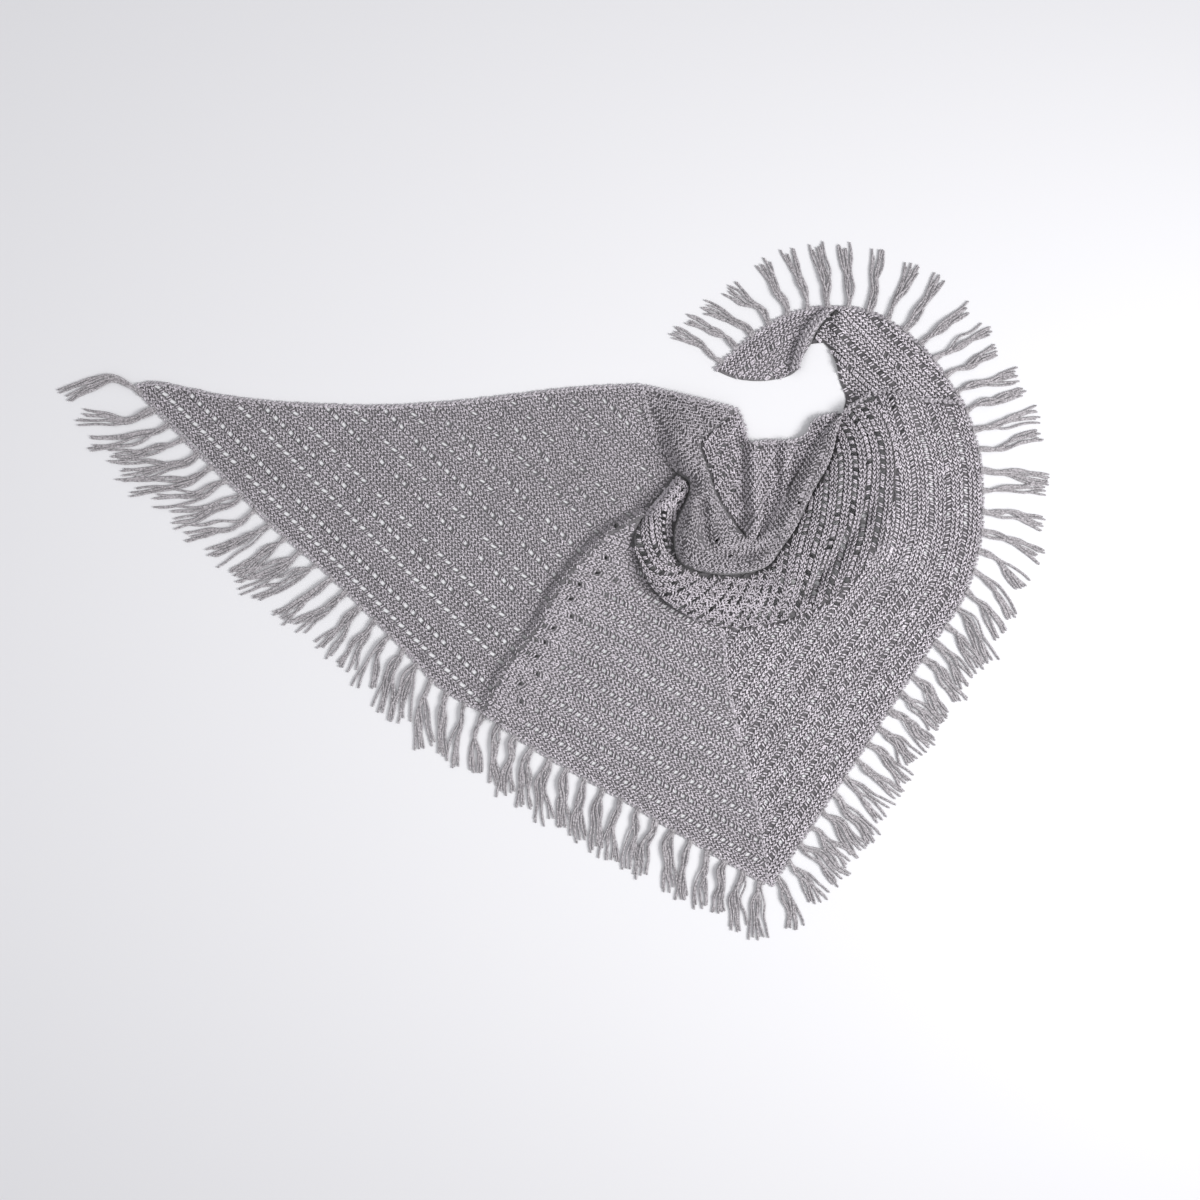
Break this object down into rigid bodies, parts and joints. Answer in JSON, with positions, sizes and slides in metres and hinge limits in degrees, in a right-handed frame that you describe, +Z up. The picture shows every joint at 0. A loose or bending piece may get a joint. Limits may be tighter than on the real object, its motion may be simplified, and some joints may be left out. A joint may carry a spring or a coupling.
{
  "type": "crochet shawl",
  "caption": "Triangular openwork shawl with a fringe along its two short edges, laid on a surface with one wing spread flat and the rest swept round in soft folds.",
  "frame": {"origin": "middle of the laid shawl's outline, on the surface that it lies on", "axes": "+Z up from the surface, +X from the spread left tip towards the right wing, +Y towards the top edge"},
  "size_m": [1.3448, 0.9432, 0.038],
  "materials": {
    "yarn": "matte heathered crochet yarn",
    "fringe_yarn": "matte plied yarn"
  },
  "bodies": {
    "root": {"wing_left": "yarn", "centre_left": "yarn", "wing_right": "yarn", "wing_right_top": "yarn", "tip_right": "yarn", "fold_pouch": "yarn", "fold_roll": "yarn", "fold_crescent": "yarn", "fringe_left_1": "fringe_yarn", "fringe_left_2": "fringe_yarn", "fringe_left_3": "fringe_yarn", "fringe_left_4": "fringe_yarn", "fringe_left_5": "fringe_yarn", "fringe_left_6": "fringe_yarn", "fringe_right_1": "fringe_yarn", "fringe_right_2": "fringe_yarn", "fringe_right_3": "fringe_yarn", "fringe_right_4": "fringe_yarn", "fringe_right_5": "fringe_yarn", "fringe_right_6": "fringe_yarn"}
  },
  "joints": []
}
